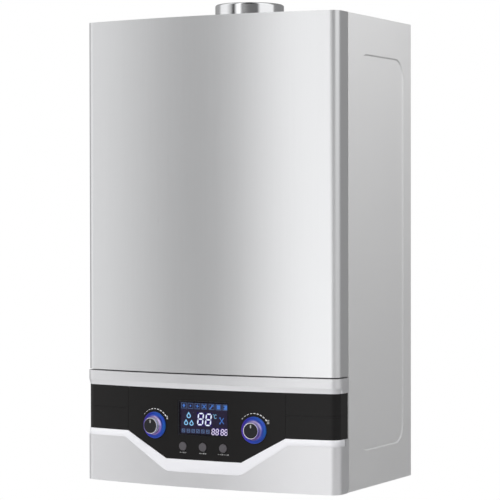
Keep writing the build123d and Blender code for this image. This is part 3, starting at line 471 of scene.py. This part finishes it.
silver_front("silver cover")
painted_metal("side paint", (0.69, 0.69, 0.692), roughness=0.42, peel=0.12, metallic=0.05, specular=0.3)
moulded("silver moulding", (0.77, 0.77, 0.785),
        roughness=0.36, grain=900, depth=0.05, specular=0.5, metallic=0.75, tint=0.03)
moulded("fascia black", (0.0085, 0.008, 0.008), roughness=0.34, grain=1100, depth=0.06, specular=0.2)
moulded("trim white", (0.84, 0.84, 0.87), roughness=0.3, grain=700, depth=0.04, specular=0.5, metallic=0.1, tint=0.02)
smoked_glass("window glass")
moulded("display ground", (0.034, 0.028, 0.05), roughness=0.3, grain=500, depth=0.02, specular=0.2)
circuit_board("board green")
halo_plastic("halo blue")
violet_chrome("skirt left", -1)
violet_chrome("skirt right", 1)
moulded("cap black", (0.012, 0.012, 0.014), roughness=0.5, grain=800, depth=0.1, specular=0.3)
moulded("button grey", (0.092, 0.086, 0.094), roughness=0.42, grain=800, depth=0.06, specular=0.35, metallic=0.1)
spangled_zinc("zinc sheet", (0.64, 0.66, 0.68))
brushed_metal("plain steel", (0.56, 0.56, 0.57), grain=(1, 0.05, 1), roughness=0.36)
chrome("polished collar", (0.86, 0.865, 0.88), roughness=0.13)
cast_metal("flue alloy", (0.6, 0.6, 0.6), roughness=0.45, lumps=60, depth=0.2)
cast_metal("brass", (0.78, 0.6, 0.3), roughness=0.32, lumps=220, depth=0.25)
heated_copper("copper tube")
fibre_board("white fibre")
moulded("white ceramic", (0.85, 0.84, 0.8), roughness=0.2, grain=300, depth=0.04, specular=0.6)
cast_metal("cast alloy", (0.68, 0.68, 0.7), roughness=0.45, lumps=180, depth=0.5)
burnt_steel("burner steel")
brushed_metal("stainless", (0.68, 0.68, 0.69), grain=(0.04, 1, 1), roughness=0.3)
painted_metal("vessel red", (0.5, 0.05, 0.04), roughness=0.28, peel=0.25)
cast_metal("pump iron", (0.1, 0.1, 0.11), roughness=0.5, lumps=140, depth=0.7, metallic=0.2)
moulded("rubber", (0.02, 0.02, 0.02), roughness=0.8, grain=500, depth=0.3, specular=0.25)
moulded("nylon", (0.78, 0.77, 0.72), roughness=0.5, grain=500, depth=0.1)
moulded("red plastic", (0.62, 0.03, 0.02), roughness=0.3, grain=600, depth=0.1, specular=0.5)
moulded("grey plastic", (0.3, 0.3, 0.32), roughness=0.55, grain=600, depth=0.15)
glowing("segment white", (0.86, 0.95, 1.0), strength=1.0)
glowing("segment cyan", (0.3, 0.68, 0.92), strength=0.9)
glowing("segment blue", (0.08, 0.22, 0.58), strength=0.9)
glowing("segment mauve", (0.92, 0.86, 1.0), strength=1.0)
glowing("segment dim", (0.12, 0.2, 0.33), strength=0.9)
glowing("segment violet", (0.03, 0.015, 0.12), strength=0.8)
moulded("print white", (0.78, 0.78, 0.78), roughness=0.6, grain=900, depth=0.05, specular=0.3)
moulded("print grey", (0.42, 0.42, 0.42), roughness=0.6, grain=900, depth=0.05, specular=0.3)

WORN_BY = {
    "silver cover": ["front_cover"],
    "side paint": ["side_panel_left", "side_panel_right", "top_plate"],
    "silver moulding": ["control_front"],
    "fascia black": ["fascia_center", "fascia_ends"],
    "trim white": ["fascia_trim"],
    "window glass": ["display_window"],
    "display ground": ["display_module"],
    "board green": ["control_board"],
    "halo blue": ["knob_rings"],
    "skirt left": ["knob_left"],
    "skirt right": ["knob_right"],
    "cap black": ["knob_cap_left", "knob_cap_right", "cable_gland", "spark_generator", "diverter_motor",
                  "pump_rotor", "filling_tap"],
    "button grey": ["button_left", "button_middle", "button_right"],
    "zinc sheet": ["wall_bracket", "back_frame", "bottom_plate", "combustion_chamber", "chamber_cover",
                   "fan_housing"],
    "plain steel": ["case_screws", "cover_pegs", "panel_screws", "hinge_pins", "gas_manifold", "fan_impeller",
                    "fan_motor", "diverter_stem"],
    "polished collar": ["flue_collar"],
    "flue alloy": ["flue_pipe", "flue_hood"],
    "brass": ["flow_block", "return_block"],
    "copper tube": ["heating_pipes", "vessel_pipe", "gas_pipe", "heat_exchanger"],
    "white fibre": ["chamber_insulation"],
    "white ceramic": ["electrodes"],
    "cast alloy": ["gas_valve"],
    "burner steel": ["burner"],
    "stainless": ["plate_exchanger"],
    "vessel red": ["expansion_vessel"],
    "pump iron": ["pump_body"],
    "rubber": ["wall_spacers"],
    "nylon": ["cover_clips"],
    "red plastic": ["relief_cap"],
    "grey plastic": ["control_housing", "encoders", "air_pressure_switch"],
}
for worn, node_names in WORN_BY.items():
    for node_name in node_names:
        for material_slot in frame["nodes"][node_name].material_slots:
            material_slot.material = FINISH[worn]


# Modelling tools

# Turns a shape drawn in x and y to stand in x and z, facing out of the boiler.
FACING = Matrix.Rotation(radians(90), 4, "X")


def along_front(x):
    """How far round the bowed front a point at x is from its middle."""
    return FRONT_RADIUS * asin(x / FRONT_RADIUS)


CORNER_TURN = asin((HALF_WIDTH - CORNER_RADIUS) / (FRONT_RADIUS - CORNER_RADIUS))
CORNER_START = FRONT_RADIUS * CORNER_TURN
CORNER_END = CORNER_START + CORNER_RADIUS * (pi / 2 - CORNER_TURN)
CORNER_BACK = sqrt((FRONT_RADIUS - CORNER_RADIUS) ** 2 - (HALF_WIDTH - CORNER_RADIUS) ** 2) - FRONT_CENTRE


def on_front(run, rise):
    """X and Y at a run round the front of the case, rise above its bowed face."""
    side = -1 if run < 0 else 1
    run = abs(run)
    if run <= CORNER_START:
        turn = run / FRONT_RADIUS
        x = (FRONT_RADIUS + rise) * sin(turn)
        y = FRONT_CENTRE - (FRONT_RADIUS + rise) * cos(turn)
    elif run <= CORNER_END:
        turn = CORNER_TURN + (run - CORNER_START) / CORNER_RADIUS
        x = HALF_WIDTH - CORNER_RADIUS + (CORNER_RADIUS + rise) * sin(turn)
        y = -CORNER_BACK - (CORNER_RADIUS + rise) * cos(turn)
    else:
        x = HALF_WIDTH + rise
        y = -CORNER_BACK + run - CORNER_END
    return side * x, y


def wrap_on_front(bm):
    """Bends a flat piece, drawn with x round the front, -y out of it and z up, on to the case."""
    for vertex in bm.verts:
        x, y = on_front(vertex.co.x, -vertex.co.y)
        vertex.co = (x, y, vertex.co.z)


def slice_across(bm, step):
    """Cuts a flat piece every step, so that it can follow the bow."""
    low = min(v.co.x for v in bm.verts)
    high = max(v.co.x for v in bm.verts)
    for cut in range(1, int((high - low) / step) + 1):
        everything = bm.verts[:] + bm.edges[:] + bm.faces[:]
        bmesh.ops.bisect_plane(
            bm, geom=everything, dist=0.0001, plane_co=(low + cut * step, 0, 0), plane_no=(1, 0, 0)
        )


def thicken(bm, depth):
    """Gives every flat face a thickness, outwards."""
    raised = bmesh.ops.extrude_face_region(bm, geom=bm.faces[:], use_keep_orig=True)
    moved = [v for v in raised["geom"] if isinstance(v, bmesh.types.BMVert)]
    bmesh.ops.translate(bm, verts=moved, vec=(0, -depth, 0))


def piece(bm, name, body, worn, smooth=False):
    """Turns a bmesh in millimetres from the case bottom into a piece that rides on a body."""
    for vertex in bm.verts:
        vertex.co = (vertex.co.x * MM, vertex.co.y * MM, level(vertex.co.z))
    bmesh.ops.remove_doubles(bm, verts=bm.verts, dist=1e-6)
    bmesh.ops.recalc_face_normals(bm, faces=bm.faces)
    mesh = bpy.data.meshes.new(name)
    bm.to_mesh(mesh)
    bm.free()
    if smooth:
        mesh.shade_smooth()
        mesh.set_sharp_from_angle(angle=radians(32))
    mesh.materials.append(FINISH[worn])
    made = bpy.data.objects.new(name, mesh)
    bpy.context.collection.objects.link(made)
    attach(made, body)
    return made


def put(x, z, width, height, turn):
    """Places a shape one unit across at x and height z, at a width and a height, turned clockwise in degrees."""
    return (Matrix.Translation((x, 0, z)) @ Matrix.Rotation(radians(turn), 4, "Y") @ FACING
            @ Matrix.Diagonal((width, height, 1, 1)))


def disc(bm, x, z, width, height, sides=16, turn=0):
    """A flat ellipse, or with few sides a diamond, a triangle or a hexagon."""
    return bmesh.ops.create_circle(
        bm, cap_ends=True, segments=sides, radius=0.5, matrix=put(x, z, width, height, turn))["verts"]


def bar(bm, x, z, width, height, turn=0):
    return bmesh.ops.create_grid(
        bm, x_segments=1, y_segments=1, size=0.5, matrix=put(x, z, width, height, turn))["verts"]


def hollow(bm, verts, wall):
    """Opens the middle of a flat face, leaving a ring of that wall."""
    faces = list({face for v in verts for face in v.link_faces})
    bmesh.ops.inset_region(bm, faces=faces, thickness=wall, use_boundary=True, use_even_offset=True)
    bmesh.ops.delete(bm, geom=faces, context="FACES_ONLY")


# White bevel under the black fascia

def bevel_outline():
    """Upper and lower edge of the bevel's right half, from its end to the middle of the band."""
    end = CORNER_END + CORNER_BACK - BEVEL_END_DEPTH
    upper = [(end, BAND_BOTTOM), (along_front(CENTRE_HALF_WIDTH), BAND_BOTTOM)]
    lower = [(end, BEVEL_END_BOTTOM), (along_front(BEVEL_SHOULDER), BEVEL_END_BOTTOM)]
    foot = Vector((along_front(CENTRE_FOOT_HALF_WIDTH), BEVEL_FOOT))
    slope = (Vector(lower[1]) - foot).normalized()
    above = foot + slope * BEVEL_BEND
    inside = foot + Vector((-BEVEL_BEND, 0))
    for step in range(BEVEL_BEND_STEPS + 1):
        share = step / BEVEL_BEND_STEPS
        bend = above.lerp(foot, share).lerp(foot.lerp(inside, share), share)
        lower.append((bend.x, bend.y))
        upper.append((foot.x + (0.5 - share) * 0.8, CENTRE_FOOT + max(0, 0.5 - share) * 0.5))
    return upper, lower


def round_bevel_ends(bm, end):
    """Draws the two short ends in, most at their corners."""
    middle = (BAND_BOTTOM + BEVEL_END_BOTTOM) / 2
    half = (BAND_BOTTOM - BEVEL_END_BOTTOM) / 2
    for vertex in bm.verts:
        if abs(vertex.co.x) > end - 0.01:
            away = min(1, abs(vertex.co.z - middle) / half)
            side = 1 if vertex.co.x > 0 else -1
            vertex.co.x -= (1 - sqrt(max(0, 1 - away ** 2))) * half * 0.45 * side


def fascia_bevel():
    """The bevel: an edge drawn along the band, pulled down over the moulding in four steps."""
    upper, lower = bevel_outline()
    rows = []
    for share, rise in ((0, BAND), (0.015, 0.25), (0.09, 0.5), (0.93, MOULDING - 0.15), (1, MOULDING - 0.45)):
        row = [(a[0] + (b[0] - a[0]) * share, -rise, a[1] + (b[1] - a[1]) * share) for a, b in zip(upper, lower)]
        rows.append(row + [(-x, y, z) for x, y, z in reversed(row)])
    bm = bmesh.new()
    verts = [bm.verts.new(point) for point in rows[0]]
    edges = [bm.edges.new(pair) for pair in zip(verts, verts[1:])]
    for row in rows[1:]:
        grown = bmesh.ops.extrude_edge_only(bm, edges=edges)["geom"]
        edges = [part for part in grown if isinstance(part, bmesh.types.BMEdge)]
        fresh = sorted((part for part in grown if isinstance(part, bmesh.types.BMVert)), key=lambda v: -v.co.x)
        for vertex, point in zip(fresh, row):
            vertex.co = point
    round_bevel_ends(bm, upper[0][0])
    slice_across(bm, BEVEL_SLICE)
    for part in bmesh.ops.extrude_face_region(bm, geom=bm.faces[:], use_keep_orig=True)["geom"]:
        if isinstance(part, bmesh.types.BMVert):
            part.co.y = BEVEL_BACK
    wrap_on_front(bm)
    made = piece(bm, "fascia_bevel", "control_panel", "trim white", smooth=True)
    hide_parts("fascia_trim")


fascia_bevel()


# Display

def on_screen(across, down):
    """X and height of a point given as shares of the screen from its top left corner."""
    return (across - 0.5) * SCREEN_WIDTH, SCREEN_MIDDLE + (0.5 - down) * SCREEN_HEIGHT


def to_screen(bm, lift, depth=0.06):
    """Thickens flat figures and sets them just in front of the screen."""
    thicken(bm, depth)
    bmesh.ops.translate(bm, verts=bm.verts, vec=(0, -SCREEN_FACE - lift, 0))


def seven_segments(bm, x, z, width, height, stroke, lean=0.12):
    """A figure 8 of seven bars with pointed ends, leaning to the right."""
    half = width / 2 - stroke / 2
    tall = height / 2 - stroke / 2
    across = width - stroke * 1.25
    upright = tall - stroke * 0.3
    verts = []
    for rise in (-tall, 0, tall):
        verts += disc(bm, x, z + rise, across, stroke, 6)
    for side in (-half, half):
        for rise in (-tall / 2, tall / 2):
            verts += disc(bm, x + side, z + rise, upright, stroke, 6, 90)
    for vertex in verts:
        vertex.co.x += (vertex.co.z - z) * lean


def flame(bm, across, down, width, height, wall):
    """A hollow flame: a ring whose upper half is drawn up to a point."""
    x, z = on_screen(across, down)
    ring = disc(bm, x, z - height * 0.2, width, height * 0.68, 16)
    for vertex in ring:
        up = (vertex.co.z - z) / height
        if up > 0:
            vertex.co.x = x + (vertex.co.x - x) * max(0, 1 - up * 5.2)
            vertex.co.z = z + up * height * 3.4
    hollow(bm, ring, wall)


def display_figures():
    """The two large figures, the clock, and the darker ground under both."""
    bm = bmesh.new()
    for across, down in ((0.431, 0.52), (0.594, 0.53)):
        x, z = on_screen(across, down)
        seven_segments(bm, x, z, 11.2, 20.2, 2.5)
    to_screen(bm, SEGMENT_LIFT)
    piece(bm, "display_figures", "control_panel", "segment white")

    bm = bmesh.new()
    for across in (0.695, 0.777, 0.883, 0.961):
        x, z = on_screen(across, 0.9)
        seven_segments(bm, x, z, 6.0, 10.6, 1.5, 0.1)
    to_screen(bm, SEGMENT_LIFT)
    piece(bm, "clock_figures", "control_panel", "segment mauve")

    bm = bmesh.new()
    x, z = on_screen(0.83, 0.9)
    bar(bm, x, z, 26.5, 12.4)
    for across in (0.431, 0.594):
        x, z = on_screen(across, 0.525)
        bar(bm, x, z, 12.8, 21.6)
    to_screen(bm, 0.01, 0.02)
    piece(bm, "figure_grounds", "control_panel", "segment violet")


def display_flames():
    """Three flames on the left, and the degree sign with its C."""
    bm = bmesh.new()
    flame(bm, 0.184, 0.4, 7.8, 10.0, 1.6)
    flame(bm, 0.127, 0.63, 7.4, 9.4, 1.5)
    flame(bm, 0.242, 0.64, 7.4, 9.4, 1.5)
    x, z = on_screen(0.741, 0.42)
    unit = disc(bm, x, z, 5.2, 6.6, 14)
    hollow(bm, unit, 0.8)
    gap = []
    for face in bm.faces:
        middle = face.calc_center_median()
        if x + 1.5 < middle.x < x + 4 and abs(middle.z - z) < 2.2:
            gap.append(face)
    bmesh.ops.delete(bm, geom=gap, context="FACES")
    x, z = on_screen(0.698, 0.36)
    disc(bm, x, z, 1.3, 1.3, 8)
    to_screen(bm, SEGMENT_LIFT)
    piece(bm, "flame_figures", "control_panel", "segment cyan")


def picture_row(row):
    """The small blue pictures at these places along the top, and the two crossed tools on the right."""
    bm = bmesh.new()
    x, z = row[0]
    disc(bm, x, z, 5.2, 6.4, 4)
    x, z = row[1]
    disc(bm, x, z, 2.6, 3.6, 8)
    x, z = row[2]
    for turn in (0, 90):
        disc(bm, x, z, 7.4, 2.4, 4, turn + 10)
    x, z = row[3]
    for turn in (45, -45):
        bar(bm, x, z, 8.4, 1.5, turn)
    x, z = row[4]
    bar(bm, x - 0.4, z - 0.4, 8.2, 1.9, -48)
    bar(bm, x + 1.6, z + 1.9, 3.6, 1.9, 5)
    x, z = row[5]
    bar(bm, x, z, 6.0, 6.4)
    x, z = row[6]
    bar(bm, x + 0.8, z, 4.6, 6.8)
    bar(bm, x - 2.2, z + 2.2, 2.0, 1.6)
    bar(bm, x - 2.2, z - 2.0, 2.0, 2.2)
    x, z = on_screen(0.872, 0.535)
    bar(bm, x, z - 0.6, 11.6, 1.15, 52)
    bar(bm, x, z - 0.6, 11.6, 1.3, -54)
    disc(bm, x - 3.0, z + 3.8, 2.6, 2.6, 8)
    disc(bm, x - 3.2, z - 4.6, 2.4, 3.2, 8)
    to_screen(bm, SEGMENT_LIFT)
    piece(bm, "picture_row", "control_panel", "segment blue")


def picture_frames(row):
    """A dim frame round each small picture, and six dim boxes along the bottom."""
    bm = bmesh.new()
    for x, z in row:
        hollow(bm, bar(bm, x, z, 9.6, 9.0), 0.6)
    for index, across in enumerate((0.071, 0.177, 0.277, 0.376, 0.479, 0.582)):
        x, z = on_screen(across, 0.905)
        hollow(bm, bar(bm, x, z, 5.8, 5.8), 0.9)
        bar(bm, x, z, 4.4, 1.0, 40 - 25 * (index % 4))
    to_screen(bm, 0.06)
    piece(bm, "picture_frames", "control_panel", "segment dim")


display_figures()
display_flames()
PICTURES = [on_screen(across, 0.115 + 0.01 * across) for across in (0.082, 0.22, 0.365, 0.507, 0.66, 0.805, 0.947)]
picture_row(PICTURES)
picture_frames(PICTURES)


# Prints and pointers

def print_on_band(bm, name, worn, step):
    """Lays flat shapes on the black band as a thin print."""
    for vertex in bm.verts:
        vertex.co.x = along_front(vertex.co.x)
        vertex.co.y = -BAND + 0.02
    slice_across(bm, step)
    thicken(bm, 0.07)
    wrap_on_front(bm)
    piece(bm, name, "control_panel", worn)


def knob_scales():
    """Nine strokes round each knob, from thin to thick."""
    bm = bmesh.new()
    for side in (-1, 1):
        centre = (side * KNOB_X, 0, KNOB_HEIGHT)
        for index in range(SCALE_STROKES):
            thick = 0.45 + index * 0.16
            start = radians(SCALE_FIRST + index * SCALE_STEP - SCALE_STROKE_TURN / 2)
            inner, outer = (
                bm.verts.new((side * KNOB_X + away * sin(start), 0, KNOB_HEIGHT + away * cos(start)))
                for away in (SCALE_RADIUS - thick / 2, SCALE_RADIUS + thick / 2))
            bmesh.ops.spin(
                bm, geom=[inner, outer, bm.edges.new((inner, outer))], cent=centre, axis=(0, 1, 0),
                angle=radians(SCALE_STROKE_TURN), steps=3, use_merge=False,
            )
    print_on_band(bm, "knob_scales", "print white", 2.0)


def band_signs():
    """A tap at the end of the left scale, a radiator at the end of the right one, and plain marks under the buttons."""
    bm = bmesh.new()
    x = -KNOB_X + SIGN_OFFSET
    disc(bm, x, KNOB_HEIGHT + 14.5, 3.4, 3.0, 4)
    bar(bm, x, KNOB_HEIGHT + 11.6, 2.6, 2.6)
    x = KNOB_X + SIGN_OFFSET
    for lift in (11.2, 13.6, 16.0):
        bar(bm, x, KNOB_HEIGHT + lift, 3.8, 1.2)
    height = BUTTON_HEIGHT - BUTTON_SIGN_DROP
    for middle, count, corners in ((-BUTTON_PITCH, 4, 3), (0, 4, 4), (BUTTON_PITCH, 6, 3)):
        for index in range(count):
            x = middle + (index - (count - 1) / 2) * BUTTON_SIGN_PITCH
            if index % 3 == 0:
                disc(bm, x, height, 2.2, 2.2, corners)
            elif index % 3 == 1:
                bar(bm, x, height, 2.4, 0.7)
            else:
                hollow(bm, disc(bm, x, height, 2.3, 2.3, 10), 0.6)
    print_on_band(bm, "button_signs", "print grey", 3.0)


knob_scales()
band_signs()


def pointer(name, side, body):
    """The pale mark near the edge of a knob's cap, lying on the cap."""
    bm = bmesh.new()
    bar(bm, 0, 6.9, 1.9, 5.2)
    thicken(bm, 0.12)
    bmesh.ops.bevel(
        bm, geom=[e for e in bm.edges if abs(e.verts[0].co.y - e.verts[1].co.y) > 0.05], affect="EDGES",
        offset=0.7, segments=3, profile=0.5, material=-1,
    )
    turn = asin(side * KNOB_X / FRONT_RADIUS)
    rise = BAND + KNOB_RISE
    reach = FRONT_RADIUS + rise
    centre = (reach * sin(turn), FRONT_CENTRE - reach * cos(turn), KNOB_HEIGHT)
    bmesh.ops.transform(bm, matrix=Matrix.Translation(centre) @ Matrix.Rotation(turn, 4, "Z"), verts=bm.verts)
    piece(bm, name, body, "print grey")


pointer("pointer_left", -1, "left_knob")
pointer("pointer_right", 1, "right_knob")


# Floor, world, lamps and camera

def floor():
    """Pale floor that keeps part of the shadow on it."""
    bm = bmesh.new()
    bmesh.ops.create_grid(
        bm, x_segments=1, y_segments=1, size=FLOOR_SIZE, matrix=Matrix.Translation((0.3, -0.5, FLOOR_LEVEL)))
    mesh = bpy.data.meshes.new("floor")
    bm.to_mesh(mesh)
    bm.free()
    s = finish("pale floor")
    grain = s.noise(3, detail=2)
    matt = s.node("ShaderNodeBsdfPrincipled", None, {
        "Base Color": s.mix(grain, (0.86, 0.86, 0.86), (0.89, 0.89, 0.89)), "Roughness": 0.9,
        "Specular IOR Level": 0.1,
    })
    pale = s.node("ShaderNodeEmission", None, {"Color": (0.9, 0.9, 0.9), "Strength": 1.0})
    camera_ray = s.node("ShaderNodeLightPath")
    s.surface(s.node("ShaderNodeMixShader", None, {0: camera_ray * 0.7, 1: matt, 2: pale}))
    mesh.materials.append(FINISH["pale floor"])
    made = bpy.data.objects.new("floor", mesh)
    bpy.context.collection.objects.link(made)


# Brightness of the room that metal reflects, by place: 0.5 is in front, 0.75 to the right, 0.25 to the left.
FRONT_WALL = (
    (0.0, 0.25), (0.24, 0.4), (0.27, 0.95), (0.345, 1.0), (0.383, 0.66), (0.402, 0.42), (0.4165, 0.06),
    (0.43, 0.08), (0.45, 0.97), (0.4643, 1.35),
)
LOW_WALL = FRONT_WALL + (
    (0.5, 1.4), (0.53, 1.5), (0.565, 0.75), (0.65, 0.6), (0.82, 0.6), (0.86, 0.3), (1.0, 0.25),
)
HIGH_WALL = FRONT_WALL + (
    (0.485, 1.35), (0.505, 0.05), (0.65, 0.05), (0.675, 1.1), (0.81, 1.1), (0.83, 0.25), (1.0, 0.25),
)
# The upward slope at which a reflection begins to see the high wall, and at which it sees nothing else.
HIGH_WALL_START = 0.066
HIGH_WALL_FULL = 0.086


def world():
    """White where the camera sees it. Metal sees a room with soft bright and dark walls instead."""
    owner = bpy.data.worlds.new("studio")
    bpy.context.scene.world = owner
    s = Shading(owner)
    x, y, z = s.parts(s.node("ShaderNodeTexCoord"))
    turn = x.maths("ARCTAN2", 0 - y) / (2 * pi) + 0.5
    low, high = (s.ramp(turn, [(place, (shade,) * 3) for place, shade in wall], "LINEAR")
                 for wall in (LOW_WALL, HIGH_WALL))
    room = s.mix(s.fade(z, HIGH_WALL_START, HIGH_WALL_FULL), low, high)
    path = s.node("ShaderNodeLightPath").socket.node.outputs
    camera_ray, glossy_ray, through_ray = (
        Value(s, path[name]) for name in ("Is Camera Ray", "Is Glossy Ray", "Is Transmission Ray"))
    ambient = s.mix((camera_ray + through_ray).maths("MINIMUM", 1.0), (0.22, 0.22, 0.223), (1.0, 1.0, 1.0))
    seen = s.mix(glossy_ray * (1 - camera_ray), ambient, room)
    background = s.node("ShaderNodeBackground", None, {"Color": seen, "Strength": 1.0})
    s.node("ShaderNodeOutputWorld", None, {"Surface": background})


def lamp(name, place, towards, width, height, power):
    """A soft rectangular lamp that metal doesn't mirror. Places are in metres, and power is in watts."""
    data = bpy.data.lights.new(name, "AREA")
    data.shape = "RECTANGLE"
    data.size = width
    data.size_y = height
    data.energy = power
    made = bpy.data.objects.new(name, data)
    made.location = place
    made.rotation_euler = (Vector(towards) - Vector(place)).to_track_quat("-Z", "Y").to_euler()
    made.visible_glossy = False
    bpy.context.collection.objects.link(made)


def camera(place, ahead, upward, lens):
    """Stands at the place, looks ahead, and is level with upward."""
    data = bpy.data.cameras.new("camera")
    data.lens = lens
    data.sensor_width = 36
    data.clip_start = 0.1
    data.clip_end = 50
    ahead = Vector(ahead).normalized()
    right = ahead.cross(Vector(upward)).normalized()
    above = right.cross(ahead)
    made = bpy.data.objects.new("camera", data)
    made.matrix_world = Matrix.Translation(place) @ Matrix((right, above, -ahead)).transposed().to_4x4()
    bpy.context.collection.objects.link(made)
    bpy.context.scene.camera = made


floor()
world()
lamp("key", (1.1, -0.4, 0.78), (0.2, -0.15, -0.2), 0.9, 0.7, 16.5)
lamp("fill", (-1.0, -2.8, 1.2), (0, -0.3, -0.5), 1.8, 1.4, 92)
camera((1.55944, -3.09811, -0.28511), (-0.46628, 0.88449, -0.01605), (-0.00621, 0.01487, 0.99987), 147.38)
bpy.context.scene.view_settings.view_transform = "Standard"
